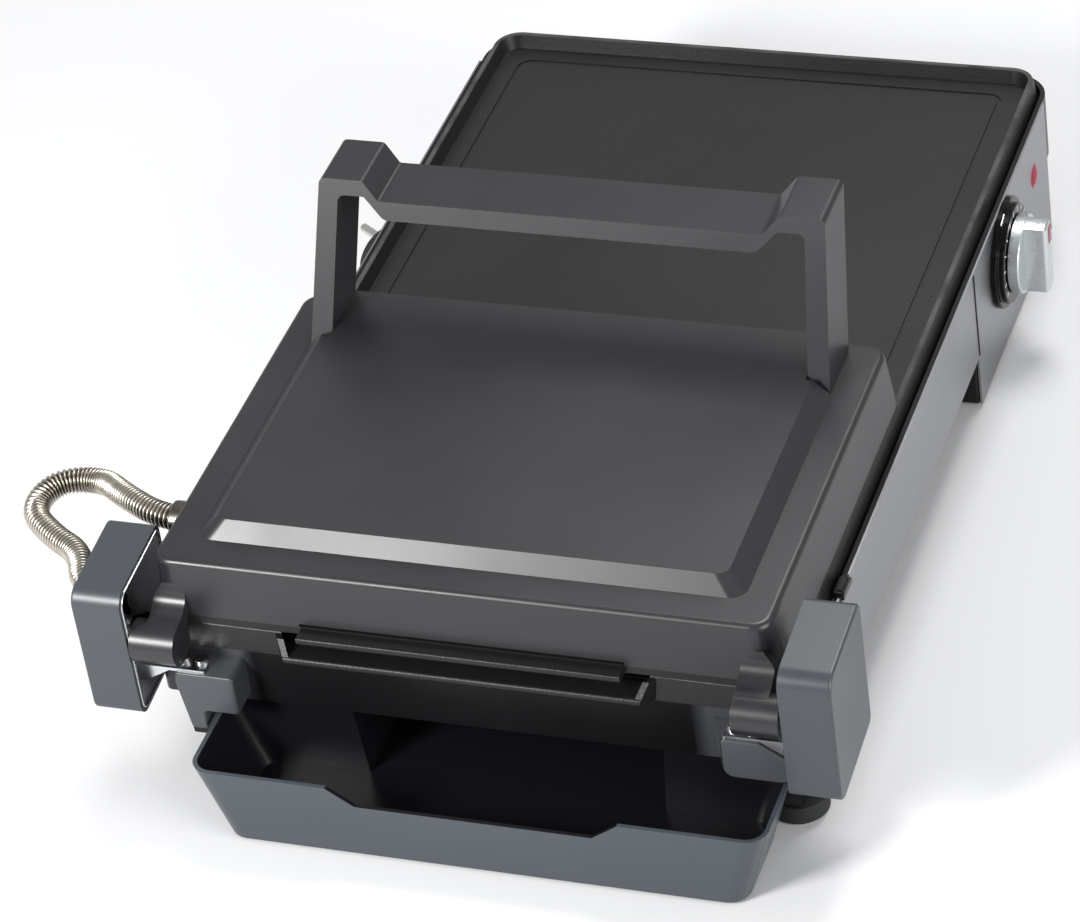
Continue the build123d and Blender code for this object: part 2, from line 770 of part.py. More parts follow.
def side_panel(side):
    # The brushed sheet on a long side; on the control side it reaches down over the control box.
    points = [(panel_start, skirt_bottom), (panel_start, panel_top), (panel_end, panel_top)]
    if side < 0:
        points += [(panel_end, box_bottom), (box_start, box_bottom), (box_start, skirt_bottom)]
    else:
        points += [(panel_end, skirt_bottom)]
    sheet = along_y(side_face(points, side * body_half), side * panel_sheet)
    if side < 0:
        sheet -= rod(control_x, control_z, shaft_radius + 1.5, -body_half, -body_half - panel_sheet)
        sheet -= rod(lens_x, lens_z, lens_stem + shaft_gap, -body_half, -body_half - panel_sheet)
    return sheet


# Hinge arms
def arm_cover(side):
    # A moulded cover over one end of the hinge, open towards the lid.
    points = [(cover_back, cover_back_top), (cover_front, cover_front_top), (cover_front, cover_front_bottom),
              (cover_back, cover_back_bottom)]
    face = side_face(points, side * cover_inner)
    for (x, z), radius in zip(points, cover_rounds):
        face = round_at(face, x, z, radius)
    shell = along_y(face, side * (cover_outer - cover_inner))
    shell = fillet(shell.faces().sort_by(Axis.Y)[-1 if side > 0 else 0].edges(), cover_edge)
    room = offset(face, -cover_wall)
    shell -= along_y(room, side * (cover_outer - cover_inner - cover_wall))
    start = side * (bracket_face + bracket_sheet)
    shell += rod(cover_screw_x, cover_screw_z, cover_boss, start, side * (cover_outer - cover_wall / 2))
    shell -= rod(cover_screw_x, cover_screw_z, screw_radius + thread_gap, start, side * (cover_outer - cover_wall))
    if side > 0:
        shell -= rod(conduit_end_x, conduit_end_z, nut_neck + sheet_gap, cover_outer - 2 * cover_wall, cover_outer)
    return shell


def hinge_bracket(side):
    # The bent steel bracket: a shelf on the ear, a lip along its front and a plate that holds the hinge pin.
    reach = bracket_radius * 0.75
    outer = bracket_face + bracket_sheet
    lip = ear_top - shelf_drop
    points = [(arm_back, arm_bottom), (arm_back, arm_top), (hinge_x + reach, hinge_z + reach),
              (hinge_x - reach, hinge_z - reach), (shelf_front, ear_top), (shelf_front, lip), (arm_front, arm_bottom)]
    bracket = along_y(side_face(points, side * bracket_face), side * bracket_sheet)
    top = ear_top + shelf_sheet
    bracket += block(shelf_front, near_wall_x - sheet_gap, side * (ear_inner + 1), side * outer, ear_top, top)
    bracket += block(0, shelf_back, side * (body_half + sheet_gap), side * outer, ear_top, top)
    slope = [(body_half - ear_bevel + 2 * shelf_gap, ear_top), (body_half + 2 * shelf_gap, lip), (outer, lip),
             (outer, ear_top)]
    face = make_face(Polyline(*[(shelf_front, side * y, z) for y, z in slope], close=True))
    bracket += extrude(face, amount=shelf_sheet, dir=(1, 0, 0))
    for y in shelf_screws_y:
        bracket -= post(shelf_screw_x, side * y, screw_radius + sheet_gap, ear_top, top)
    bracket += rod(hinge_x, hinge_z, bracket_radius, side * bracket_face, side * outer)
    bracket -= rod(hinge_x, hinge_z, pin_radius + thread_gap, side * bracket_face, side * outer)
    bracket -= rod(bracket_screw_x, (arm_bottom + arm_top) / 2, screw_radius + sheet_gap, side * bracket_face,
                   side * outer)
    return bracket - rod(cover_screw_x, cover_screw_z, screw_radius + sheet_gap, side * bracket_face, side * outer)


def hinge_pin(side):
    # A headed pin through the bracket, the spacer and the barrel.
    head = bracket_face + bracket_sheet
    pin = rod(hinge_x, hinge_z, pin_radius, side * (barrel_inner + barrel_web + 1), side * head)
    return pin + rod(hinge_x, hinge_z, pin_head, side * head, side * (head + pin_head_height))


def hinge_spacer(side):
    # The sleeve on a hinge pin between barrel and bracket.
    start, end = side * (barrel_outer + spacer_gap), side * bracket_face
    sleeve = rod(hinge_x, hinge_z, spacer_radius, start, end)
    return sleeve - rod(hinge_x, hinge_z, pin_radius + thread_gap, start, end)


def bracket_screws():
    # Three screws fix each bracket to its ear and arm, one fixes each cover to its bracket.
    screws = []
    outer = bracket_face + bracket_sheet
    for side in (-1, 1):
        z = (arm_bottom + arm_top) / 2
        head = rod(bracket_screw_x, z, screw_head, side * outer, side * (outer + screw_head_height))
        screws.append(head + rod(bracket_screw_x, z, screw_radius, side * (body_half + 4), side * outer))
        head = rod(cover_screw_x, cover_screw_z, screw_head, side * (bracket_face - screw_head_height),
                   side * bracket_face)
        screws.append(head + rod(cover_screw_x, cover_screw_z, screw_radius, side * bracket_face,
                                 side * (cover_outer - cover_wall - 0.5)))
        for y in shelf_screws_y:
            top = ear_top + shelf_sheet
            head = post(shelf_screw_x, side * y, screw_head, top, top + screw_head_height)
            screws.append(head + post(shelf_screw_x, side * y, screw_radius, ear_top - shelf_screw_length + 0.5, top))
    return screws


# Controls
def thermostat_body():
    # The thermostat behind the control panel, bored for its shaft.
    front = -body_half + body_wall
    half = thermostat_width / 2
    low = control_z - thermostat_height / 2
    body = block(control_x - half, control_x + half, front, front + thermostat_depth, low, low + thermostat_height)
    body = fillet(body.edges().filter_by(Axis.Y), 2.0)
    return body - rod(control_x, control_z, shaft_radius + shaft_gap, front, front + shaft_depth)


def thermostat_shaft():
    # The turned shaft between the thermostat and the knob.
    start = -body_half + body_wall + shaft_depth - 0.3
    return rod(control_x, control_z, shaft_radius, start, knob_back() - knob_disc)


def knob_back():
    # Where the knob's back face is.
    return -body_half - panel_sheet - 2 * bezel_thickness - knob_gap


def control_bezel():
    # The stepped ring round the knob.
    back = -body_half - panel_sheet
    step = back - bezel_thickness
    ring = rod(control_x, control_z, bezel_radius, back, step)
    ring += rod(control_x, control_z, bezel_step, step, step - bezel_thickness)
    ring = chamfer([e for e in ring.edges() if e.center().Y < back - 1], 0.6)
    return ring - rod(control_x, control_z, shaft_radius + 1.5, back, step - bezel_thickness)


def control_knob():
    # A round disc with a raised grip bar across it.
    back = knob_back()
    front = back - knob_disc
    disc = rod(control_x, control_z, knob_radius, back, front)
    disc = fillet(disc.faces().sort_by(Axis.Y)[0].edges(), knob_edge)
    half = knob_grip_width / 2
    bar = block(control_x - half, control_x + half, front + 0.5, front - knob_grip_reach, control_z - knob_radius,
                control_z + knob_radius)
    bar &= rod(control_x, control_z, knob_radius - 0.3, front + 0.5, front - knob_grip_reach)
    bar = fillet(bar.faces().sort_by(Axis.Y)[0].edges(), 2.0)
    return disc + bar - rod(control_x, control_z, shaft_radius + thread_gap, back, front)


def indicator_lens():
    # A domed lens on a stem through the panel.
    face = -body_half - panel_sheet
    radius = (lens_radius ** 2 + lens_proud ** 2) / (2 * lens_proud)
    dome = Pos(lens_x, face + radius - lens_proud, lens_z) * Sphere(radius)
    dome &= rod(lens_x, lens_z, lens_radius, face, face - 2 * lens_proud)
    return dome + rod(lens_x, lens_z, lens_stem, face, -body_half + body_wall)


def indicator_lamp():
    # The small lamp behind the lens.
    start = -body_half + body_wall
    return rod(lens_x, lens_z, lens_stem - 1, start, start + lamp_length)


def terminal_block():
    # The connector that joins the cord to the heating circuits.
    low = body_floor + cover_sheet
    far = body_length - body_wall - cord_inside - sheet_gap
    body = block(far - terminal_length, far, cord_exit_y - 3 * relief_tip, cord_exit_y + relief_tip, low,
                 low + terminal_height)
    return fillet(body.edges().filter_by(Axis.Z), 1.5)


# Feet and drip tray
def rubber_feet():
    # Four rubber feet: two round discs under the near legs, two set into the far end.
    feet = []
    for x, y in near_feet():
        disc = post(x, y, foot_radius, 0, leg_bottom)
        disc = chamfer(disc.faces().sort_by(Axis.Z)[0].edges(), 1.0)
        feet.append(disc + post(x, y, foot_peg, leg_bottom, leg_bottom + foot_peg_height - 0.5))
    for x, y in far_feet():
        feet.append(post(x, y, far_foot_radius, 0, far_foot_height))
    return feet


def tray_walls(inset, floor):
    # The tray's T-shaped form, drawn in by a wall thickness.
    low_half = tray_half - tray_draft - inset
    wide = frustum(
        slab(tray_front + tray_front_draft + inset, tray_jog - inset, low_half, floor, tray_corner - inset,
             tray_middle),
        slab(tray_front + inset, tray_jog - inset, tray_half - inset, tray_top, tray_corner - inset, tray_middle))
    rear = frustum(
        slab(tray_front / 2, tray_rear - tray_rear_draft - inset, tray_rear_half - tray_rear_draft - inset, floor,
             tray_corner - inset, tray_middle),
        slab(tray_front / 2, tray_rear - inset, tray_rear_half - inset, tray_top, tray_corner - inset,
             tray_middle))
    return wide + rear


def drip_tray():
    # An open tray, wide in front and narrow under the body, with a low front edge and two flanges.
    tray = tray_walls(0, tray_bottom)
    flange = block(tray_flange_start, tray_rear - tray_corner, tray_middle - tray_rear_half - tray_flange,
                   tray_middle + tray_rear_half + tray_flange, tray_top - tray_flange_sheet, tray_top)
    tray += flange
    tray -= tray_walls(tray_wall, tray_bottom + tray_wall)
    low, high = tray_notch_half, tray_notch_half + tray_notch_slope
    sill = tray_top - tray_notch_drop
    points = [(-high, tray_top), (-low, sill), (low, sill), (high, tray_top)]
    front = tray_front - 1
    gap = make_face(Polyline(*[(front, tray_middle + y, z) for y, z in points], close=True))
    return tray - extrude(gap, amount=tray_wall + tray_front_draft + 1, dir=(1, 0, 0))


# Conduit
def conduit_path():
    # The conduit's centre line: out of the lid's side, round in a loop and into the arm cover.
    start = (conduit_x, lid_width / 2 - 2 * lid_wall, conduit_z)
    end = (conduit_end_x, cover_outer - 2 * cover_wall, conduit_end_z)
    route = [(x, lid_width / 2 + out, z) for x, out, z in conduit_route]
    return Wire(smooth([start, *route, end]))


def ring_at(path, t, radius):
    # A circle square to the path whose X axis keeps pointing up.
    heading = path % t
    up = Vector(0, 0, 1)
    steady = up - heading * heading.dot(up)
    return Plane(path @ t, x_dir=steady, z_dir=heading) * Circle(radius)


def conduit():
    # A ribbed metal hose: four circles for each rib, with an open bore.
    path = conduit_path()
    rings = []
    step = 1 / conduit_ribs
    for i in range(conduit_ribs):
        for share, radius in ((0.0, conduit_root), (0.25, conduit_crest), (0.6, conduit_crest), (0.85, conduit_root)):
            rings.append(ring_at(path, (i + share) * step, radius))
    rings.append(ring_at(path, 1, conduit_root))
    hose = loft(rings, ruled=True)
    bore = loft([ring_at(path, i * step, conduit_bore) for i in range(conduit_ribs + 1)], ruled=True)
    print("conduit length", round(path.length, 1), "rib pitch", round(path.length / conduit_ribs, 2))
    return hose - bore


def conduit_nut(x, z, face, inner):
    # The collar that clamps an end of the conduit in its wall.
    nut = rod(x, z, nut_radius, face, face + nut_length)
    nut = chamfer(nut.faces().sort_by(Axis.Y)[-1].edges(), 0.8)
    nut += rod(x, z, nut_neck, face, inner)
    return nut - rod(x, z, conduit_crest + conduit_end_gap, inner, face + nut_length)


# Cord
def coil_half(x, radius, side, low, high):
    # Half a turn from the +X side of x to the -X side, or back, as two quarter arcs that climb together.
    lift = (high - low) / 2
    start = Vector(x + side * radius, 0, low)
    middle = Vector(x, -side * math.hypot(radius, lift) if lift else -side * radius, low + lift)
    end = Vector(x - side * radius, 0, high)
    return start, middle, end


def coil_route():
    # The start, the middle and the end of each half turn, inwards in the lower layer and back out above.
    radii = [coil_radius - i * coil_pitch / 2 for i in range(coil_turns_in + 1)]
    radii += radii[-2::-1]
    low, high = cord_radius, cord_radius + coil_pitch
    x, side, halves = coil_x, 1, []
    edge = coil_x + coil_radius
    for i, radius in enumerate(radii):
        x = edge - side * radius
        z0 = low if i <= coil_turns_in else high
        z1 = low if i < coil_turns_in else high
        halves.append(coil_half(x, radius, side, z0, z1))
        edge = x - side * radius
        side = -side
    return halves


def smooth(points, share=0.45):
    # A line through hand-picked points whose corners are arcs as wide as the shorter run allows.
    edges = []
    start = Vector(*points[0])
    least = 1e9
    for i in range(1, len(points) - 1):
        a, b, c = Vector(*points[i - 1]), Vector(*points[i]), Vector(*points[i + 1])
        back, ahead = (a - b), (c - b)
        cut = share * min(back.length, ahead.length)
        enter, leave = b + back.normalized() * cut, b + ahead.normalized() * cut
        turn = math.radians(180) - math.acos(max(-1, min(1, back.normalized().dot(ahead.normalized()))))
        edges.append(Line(start, enter).edge())
        edges.append(TangentArc(enter, leave, tangent=(b - a)).edge())
        least = min(least, cut / math.tan(turn / 2))
        start = leave
    edges.append(Line(start, Vector(*points[-1])).edge())
    print("least bend radius", round(least, 1))
    return edges


def cord_lead_points():
    # From the terminal side of the far wall, through the bushing and down to the coil.
    start = (body_length - body_wall - cord_inside, cord_exit_y, cord_exit_z)
    drop = (body_length + 45, cord_exit_y, cord_exit_z)
    floor = (body_length + 61, cord_exit_y - 14, cord_radius)
    first = coil_route()[0][0]
    return [start, drop, floor, (first.X, 40, cord_radius), (first.X, first.Y, cord_radius)]


def cord_tail_points():
    # From the coil, under the body and to the plug's sleeve.
    last = coil_route()[-1][2]
    aim = plug_axis()
    end = Vector(plug_x, plug_y, plug_z) - aim * (plug_length + sleeve_length / 2)
    tip = end - aim * 27
    route = [(body_length - back, y, z) for back, y, z in tail_route]
    return [(last.X, last.Y, last.Z), (last.X, 38, 8), *route, (tip.X, tip.Y, plug_z), (end.X, end.Y, plug_z)]


def cord():
    # The mains cord as one tube: lead, coil in two layers and tail.
    halves = coil_route()
    edges = smooth(cord_lead_points())
    heading = Vector(0, -1, 0)
    for start, middle, end in halves:
        if abs(end.Z - start.Z) > 0.01:
            edges.append(TangentArc(start, middle, tangent=heading).edge())
            edges.append(TangentArc(middle, end, tangent=edges[-1] % 1).edge())
        else:
            edges.append(ThreePointArc(start, middle, end).edge())
        heading = edges[-1] % 1
    edges += smooth(cord_tail_points())
    path = Wire(edges)
    report_gap(path)
    print("cord length", round(path.length, 1))
    return sweep(Plane(path @ 0, z_dir=path % 0) * Circle(cord_radius), path=path)


def report_gap(path):
    # Prints the least space between stretches of the cord that lie apart along it.
    count = 700
    points = [path @ (i / count) for i in range(count + 1)]
    step = path.length / count
    skip = int(6 * cord_radius / step)
    least = min((points[i] - points[j]).length for i in range(count) for j in range(i + skip, count + 1))
    print("least cord gap", round(least - 2 * cord_radius, 2))


def cord_bushing():
    # The strain relief in the far wall, tapering outwards with the cord in it.
    start = body_length - body_wall
    out = body_length
    neck = Pos((start + out) / 2, 0, 0) * Rot(0, 90, 0) * Cylinder(relief_tip, body_wall)
    cone = Pos(out + relief_length / 2, 0, 0) * Rot(0, 90, 0) * Cone(relief_root, relief_tip, relief_length)
    hole = Pos(out, 0, 0) * Rot(0, 90, 0) * Cylinder(cord_radius + shaft_gap, 3 * relief_length)
    return Pos(0, cord_exit_y, cord_exit_z) * (neck + cone - hole)


def plug_axis():
    # The direction from the sleeve to the prongs.
    turn = math.radians(plug_turn)
    return Vector(math.cos(turn), math.sin(turn), 0)


def along_x(shape, x):
    # A shape drawn on Z turned to lie on X, centred at x.
    return Pos(x, 0, 0) * Rot(0, 90, 0) * shape


def plug_body():
    # A round plug with a necked sleeve, lying on its side.
    grip = Cylinder(plug_radius, plug_length - plug_shoulder)
    grip = chamfer(grip.faces().sort_by(Axis.Z)[-1].edges(), plug_edge)
    body = along_x(grip, (plug_length + plug_shoulder) / 2)
    body += along_x(Cone(plug_neck, plug_radius, plug_shoulder), plug_shoulder / 2)
    body += along_x(Cone(sleeve_radius, plug_neck, sleeve_length), -sleeve_length / 2)
    bore = Cylinder(cord_radius + thread_gap, sleeve_length + plug_shoulder)
    body -= along_x(bore, (plug_shoulder - sleeve_length) / 2)
    for z in (-prong_spacing / 2, prong_spacing / 2):
        body -= Pos(0, 0, z) * along_x(Cylinder(prong_root_radius, prong_root), plug_length - prong_root / 2)
    return place_plug(body)


def plug_prongs():
    # Two round prongs on thinner roots that sit in the plug.
    prongs = []
    for z in (-prong_spacing / 2, prong_spacing / 2):
        prong = Cylinder(prong_radius, prong_length - prong_neck)
        prong = fillet(prong.faces().sort_by(Axis.Z)[-1].edges(), prong_round)
        prong = along_x(prong, plug_length + (prong_length + prong_neck) / 2)
        root = Cylinder(prong_root_radius, prong_root + prong_neck)
        prong += along_x(root, plug_length + (prong_neck - prong_root) / 2)
        prongs.append(place_plug(Pos(0, 0, z) * prong))
    return prongs


def place_plug(shape):
    # Moves a plug shape from its own axis to its place on the table.
    back = Vector(plug_x, plug_y, plug_z) - plug_axis() * plug_length
    return Pos(back.X, back.Y, back.Z) * Rot(0, 0, plug_turn) * shape


write("base_tub", body_tub())
write("bottom_cover", bottom_cover())
write("tray_rails", *tray_rails())
write("heat_reflector", reflector())
write("griddle_plate", griddle_plate())
element_low = plate_floor - plate_thickness - element_gap - element_radius
write("lower_element", element(element_inset + element_bend, plate_length - element_inset, element_low))
write("upper_element", element(element_inset + element_bend, lid_depth - element_inset - element_bend,
                               lid_bottom + element_gap + element_radius))
write("lid_shell", lid_shell())
write("lid_pan", lid_pan())
write("upper_plate", upper_plate())
write("plate_screws", *plate_screws())
write("handle", handle())
write("handle_screws", *handle_screws())
for word, side in (("right", -1), ("left", 1)):
    write(f"side_panel_{word}", side_panel(side))
    write(f"arm_cover_{word}", arm_cover(side))
    write(f"hinge_bracket_{word}", hinge_bracket(side))
    write(f"hinge_pin_{word}", hinge_pin(side))
    write(f"hinge_spacer_{word}", hinge_spacer(side))
write("bracket_screws", *bracket_screws())
write("thermostat_body", thermostat_body())
write("thermostat_shaft", thermostat_shaft())
write("control_bezel", control_bezel())
write("control_knob", control_knob())
write("indicator_lens", indicator_lens())
write("indicator_lamp", indicator_lamp())
write("terminal_block", terminal_block())
write("rubber_feet", *rubber_feet())
write("drip_tray", drip_tray())
write("conduit", conduit())
write("conduit_nut_lid", conduit_nut(conduit_x, conduit_z, lid_width / 2 + lid_flare, lid_width / 2 - lid_wall))
write("conduit_nut_cover", conduit_nut(conduit_end_x, conduit_end_z, cover_outer, cover_outer - cover_wall))
write("cord_bushing", cord_bushing())
write("cord", cord())
write("plug_body", plug_body())
write("plug_prongs", *plug_prongs())
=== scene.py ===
import bpy
import bmesh
import json
import math
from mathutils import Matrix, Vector


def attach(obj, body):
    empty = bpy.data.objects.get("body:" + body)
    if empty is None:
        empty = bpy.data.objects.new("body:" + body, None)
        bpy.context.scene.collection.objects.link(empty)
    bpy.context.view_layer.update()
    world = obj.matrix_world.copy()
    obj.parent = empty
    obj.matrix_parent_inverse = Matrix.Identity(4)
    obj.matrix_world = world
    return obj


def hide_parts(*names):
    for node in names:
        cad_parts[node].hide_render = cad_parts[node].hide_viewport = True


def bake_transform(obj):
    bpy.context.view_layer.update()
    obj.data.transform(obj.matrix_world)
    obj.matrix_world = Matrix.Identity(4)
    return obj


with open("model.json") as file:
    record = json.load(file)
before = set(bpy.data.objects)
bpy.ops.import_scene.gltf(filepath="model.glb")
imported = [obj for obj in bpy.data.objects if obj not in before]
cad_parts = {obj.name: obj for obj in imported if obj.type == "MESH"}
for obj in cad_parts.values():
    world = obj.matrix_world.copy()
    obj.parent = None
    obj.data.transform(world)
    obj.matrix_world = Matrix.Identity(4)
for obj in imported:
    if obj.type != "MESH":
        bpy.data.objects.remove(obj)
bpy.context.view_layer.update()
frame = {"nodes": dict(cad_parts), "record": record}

# Electric table grill. Metres, in the frame of the CAD part: +X towards the open end of the
# griddle, -Y the knob side, +Z up.
partShift = -0.23515
mm = 0.001


def place(x, y, z):
    # A point given in the part's own millimetres, from the lid's hinge-side edge.
    return Vector((x * mm + partShift, y * mm, z * mm))


def addObject(name, data):
    thing = bpy.data.objects.new(name, data)
    bpy.context.scene.collection.objects.link(thing)
    return thing


# Camera
cameraSettings = {
    "location": (-1.6498, -0.6663, 1.3809),
    "rotation": (52.315, 7.007, -71.897),
    "lens": 151.9,
    "sensor": 36.0,
}


def addCamera(settings):
    data = bpy.data.cameras.new("photoCamera")
    data.lens = settings["lens"]
    data.sensor_width = settings["sensor"]
    data.sensor_fit = "HORIZONTAL"
    data.clip_end = 20
    camera = addObject("photoCamera", data)
    camera.location = settings["location"]
    camera.rotation_euler = [math.radians(angle) for angle in settings["rotation"]]
    bpy.context.scene.camera = camera


# Shared helpers for materials
def newMaterial(name):
    material = bpy.data.materials.new(name)
    material.use_nodes = True
    shader = material.node_tree.nodes["Principled BSDF"]
    return material, material.node_tree, shader


def addNode(tree, kind, **inputs):
    node = tree.nodes.new(kind)
    for key, value in inputs.items():
        node.inputs[key.replace("_", " ")].default_value = value
    return node


def scaledCoordinates(tree, scale):
    source = tree.nodes.new("ShaderNodeTexCoord")
    mapping = tree.nodes.new("ShaderNodeMapping")
    mapping.inputs["Scale"].default_value = scale
    tree.links.new(source.outputs["Object"], mapping.inputs["Vector"])
    return mapping.outputs["Vector"]


def noise(tree, vector, scale, detail=3.0):
    node = addNode(tree, "ShaderNodeTexNoise", Scale=scale, Detail=detail)
    tree.links.new(vector, node.inputs["Vector"])
    return node.outputs["Fac"]


def ramp(tree, value, low, high, lowValue, highValue):
    node = addNode(tree, "ShaderNodeMapRange", From_Min=low, From_Max=high, To_Min=lowValue, To_Max=highValue)
    tree.links.new(value, node.inputs["Value"])
    return node.outputs["Result"]


def mathNode(tree, operation, *values):
    node = tree.nodes.new("ShaderNodeMath")
    node.operation = operation
    for socket, value in zip(node.inputs, values):
        if isinstance(value, (int, float)):
            socket.default_value = value
        else:
            tree.links.new(value, socket)
    return node.outputs["Value"]


def mixColour(tree, share, first, second):
    # Each colour is a tuple or the output of another node.
    node = tree.nodes.new("ShaderNodeMix")
    node.data_type = "RGBA"
    tree.links.new(share, node.inputs["Factor"])
    for label, colour in (("A", first), ("B", second)):
        if isinstance(colour, tuple):
            node.inputs[label].default_value = (*colour, 1)
        else:
            tree.links.new(colour, node.inputs[label])
    return node.outputs["Result"]


def splitObject(tree):
    # The object's own coordinates, one output for each axis.
    coordinates = tree.nodes.new("ShaderNodeTexCoord")
    split = tree.nodes.new("ShaderNodeSeparateXYZ")
    tree.links.new(coordinates.outputs["Object"], split.inputs["Vector"])
    return split.outputs


def bump(tree, shader, height, strength, distance):
    node = addNode(tree, "ShaderNodeBump", Strength=strength, Distance=distance)
    tree.links.new(height, node.inputs["Height"])
    tree.links.new(node.outputs["Normal"], shader.inputs["Normal"])


def vectorNode(tree, operation, first, second, output="Vector"):
    node = tree.nodes.new("ShaderNodeVectorMath")
    node.operation = operation
    for socket, value in zip(node.inputs, (first, second)):
        if isinstance(value, tuple):
            socket.default_value = value
        elif value is not None:
            tree.links.new(value, socket)
    return node.outputs[output]


maskEdges = {"turn": 0.001, "rimLow": 0.0004, "rimHigh": 0.0001, "mirroredFrom": 0.1}


def mirrorFactors(tree, spot):
    # The factors that take a point or a normal to the +Y side, whichever side it is on.
    side = vectorNode(tree, "SIGN", spot, None)
    side = vectorNode(tree, "MULTIPLY", side, (0, 1, 0))
    return vectorNode(tree, "ADD", side, (1, 0, 1))


def insideMask(tree, centre, rim):
    # One on faces that look towards a shell's middle, nought on its outer faces and on its rim.
    # A shell far from the middle plane has a twin, which is read as if it stood on the +Y side.
    geometry = tree.nodes.new("ShaderNodeNewGeometry")
    coordinates = tree.nodes.new("ShaderNodeTexCoord")
    spot = coordinates.outputs["Object"]
    normal = geometry.outputs["True Normal"]
    if centre[1] >= maskEdges["mirroredFrom"]:
        side = mirrorFactors(tree, spot)
        spot = vectorNode(tree, "MULTIPLY", spot, side)
        normal = vectorNode(tree, "MULTIPLY", normal, side)
    offset = vectorNode(tree, "SUBTRACT", spot, centre)
    facing = vectorNode(tree, "DOT_PRODUCT", offset, normal, "Value")
    inward = ramp(tree, facing, -maskEdges["turn"], maskEdges["turn"], 1.0, 0.0)
    height = splitObject(tree)["Z"]
    below = ramp(tree, height, rim - maskEdges["rimLow"], rim - maskEdges["rimHigh"], 1.0, 0.0)
    return mathNode(tree, "MULTIPLY", inward, below)


tubEnds = {"sideFrom": 0.104, "sideTo": 0.112, "frontFrom": -0.236, "frontTo": -0.228}


def endsPaintedLightMask(tree):
    # One at the two outer corners of the tub's hinge end. The lighter colour put there is painted light: it
    # stands in for the light that the glossy hinge ears catch.
    spot = splitObject(tree)
    reach = mathNode(tree, "ABSOLUTE", spot["Y"])
    outer = ramp(tree, reach, tubEnds["sideFrom"], tubEnds["sideTo"], 0.0, 1.0)
    front = ramp(tree, spot["X"], tubEnds["frontFrom"], tubEnds["frontTo"], 1.0, 0.0)
    return mathNode(tree, "MULTIPLY", outer, front)


def plastic(name, settings):
    # Moulded plastic: a fine etched grain, cloudy sheen and a little colour drift.
    material, tree, shader = newMaterial(name)
    vector = scaledCoordinates(tree, (1, 1, 1))
    cloud = noise(tree, vector, settings["cloudScale"])
    grain = noise(tree, vector, settings["grainScale"], 2.0)
    tint = mixColour(tree, cloud, settings["dark"], settings["light"])
    # Painted light and shade: faces that look into a shell take a set colour. The arm cover's inside is
    # lightened to stand in for light bouncing into it, and the drip tray's inside is darkened to stand in for
    # the shade that falls there.
    if "inside" in settings:
        mask = insideMask(tree, settings["middle"], settings["rim"])
        tint = mixColour(tree, mask, tint, settings["inside"])
    # Painted light: the tub's outer hinge-end corners are lightened as if lit from the side.
    if "endsPaintedLight" in settings:
        tint = mixColour(tree, endsPaintedLightMask(tree), tint, settings["endsPaintedLight"])
    tree.links.new(tint, shader.inputs["Base Color"])
    rough = ramp(tree, cloud, 0.3, 0.7, settings["roughness"] - 0.04, settings["roughness"] + 0.05)
    tree.links.new(rough, shader.inputs["Roughness"])
    bump(tree, shader, grain, settings["grain"], 0.0002)
    shader.inputs["Specular IOR Level"].default_value = settings["specular"]
    return material


def coatedMetal(name, settings):
    # Non-stick coating: dark, with sparse pale and dark flecks and a pebbled surface.
    material, tree, shader = newMaterial(name)
    vector = scaledCoordinates(tree, (1, 1, 1))
    cells = addNode(tree, "ShaderNodeTexVoronoi", Scale=settings["fleckScale"])
    tree.links.new(vector, cells.inputs["Vector"])
    fleck = ramp(tree, cells.outputs["Distance"], 0.10, 0.22, 1.0, 0.0)
    pick = addNode(tree, "ShaderNodeSeparateColor")
    tree.links.new(cells.outputs["Color"], pick.inputs["Color"])
    chosen = ramp(tree, pick.outputs["Red"], 0.72, 0.78, 0.0, 1.0)
    flecks = mathNode(tree, "MULTIPLY", fleck, chosen)
    tint = mixColour(tree, flecks, settings["colour"], settings["fleck"])
    # Painted highlight: a pale band at the height of the rim's top edge, broken into patches, stands in for
    # the light that the edge catches.
    height = splitObject(tree)["Z"]
    bottom, top, edge = settings["rimHighlightFrom"], settings["rimHighlightTo"], settings["rimHighlightSoftness"]
    band = ramp(tree, height, bottom - 2 * edge, bottom, 0.0, 1.0)
    ceiling = ramp(tree, height, top, top + edge, 1.0, 0.0)
    patch = ramp(tree, noise(tree, vector, settings["patchScale"]), 0.35, 0.6, 0.3, 1.0)
    paintedRimHighlight = mathNode(tree, "MULTIPLY", mathNode(tree, "MULTIPLY", band, ceiling), patch)
    tree.links.new(mixColour(tree, paintedRimHighlight, tint, settings["paintedRimHighlight"]), shader.inputs["Base Color"])
    pebble = noise(tree, vector, settings["pebbleScale"], 2.0)
    cloud = noise(tree, vector, settings["cloudScale"])
    rough = ramp(tree, cloud, 0.3, 0.7, settings["roughness"] - 0.02, settings["roughness"] + 0.02)
    tree.links.new(rough, shader.inputs["Roughness"])
    bump(tree, shader, pebble, settings["pebble"], 0.0003)
    shader.inputs["Specular IOR Level"].default_value = settings["specular"]
    return material


def brushedMetal(name, settings):
    # Metal with long fine scratches along the stretch axis.
    material, tree, shader = newMaterial(name)
    vector = scaledCoordinates(tree, settings["stretch"])
    scratch = noise(tree, vector, settings["scale"], 4.0)
    tint = mixColour(tree, scratch, settings["dark"], settings["light"])
    # Painted shade: the tint darkens towards the roots between the conduit's rings, where shade falls.
    if settings.get("groove"):
        crest = tree.nodes.new("ShaderNodeAttribute")
        crest.attribute_name = "crest"
        rise = ramp(tree, crest.outputs["Fac"], 0.1, 0.75, 0.0, 1.0)
        tint = mixColour(tree, rise, settings["groove"], tint)
    tree.links.new(tint, shader.inputs["Base Color"])
    rough = ramp(tree, scratch, 0.3, 0.7, settings["roughness"] - 0.06, settings["roughness"] + 0.08)
    tree.links.new(rough, shader.inputs["Roughness"])
    bump(tree, shader, scratch, settings["depth"], 0.0002)
    shader.inputs["Metallic"].default_value = 1.0
    return material


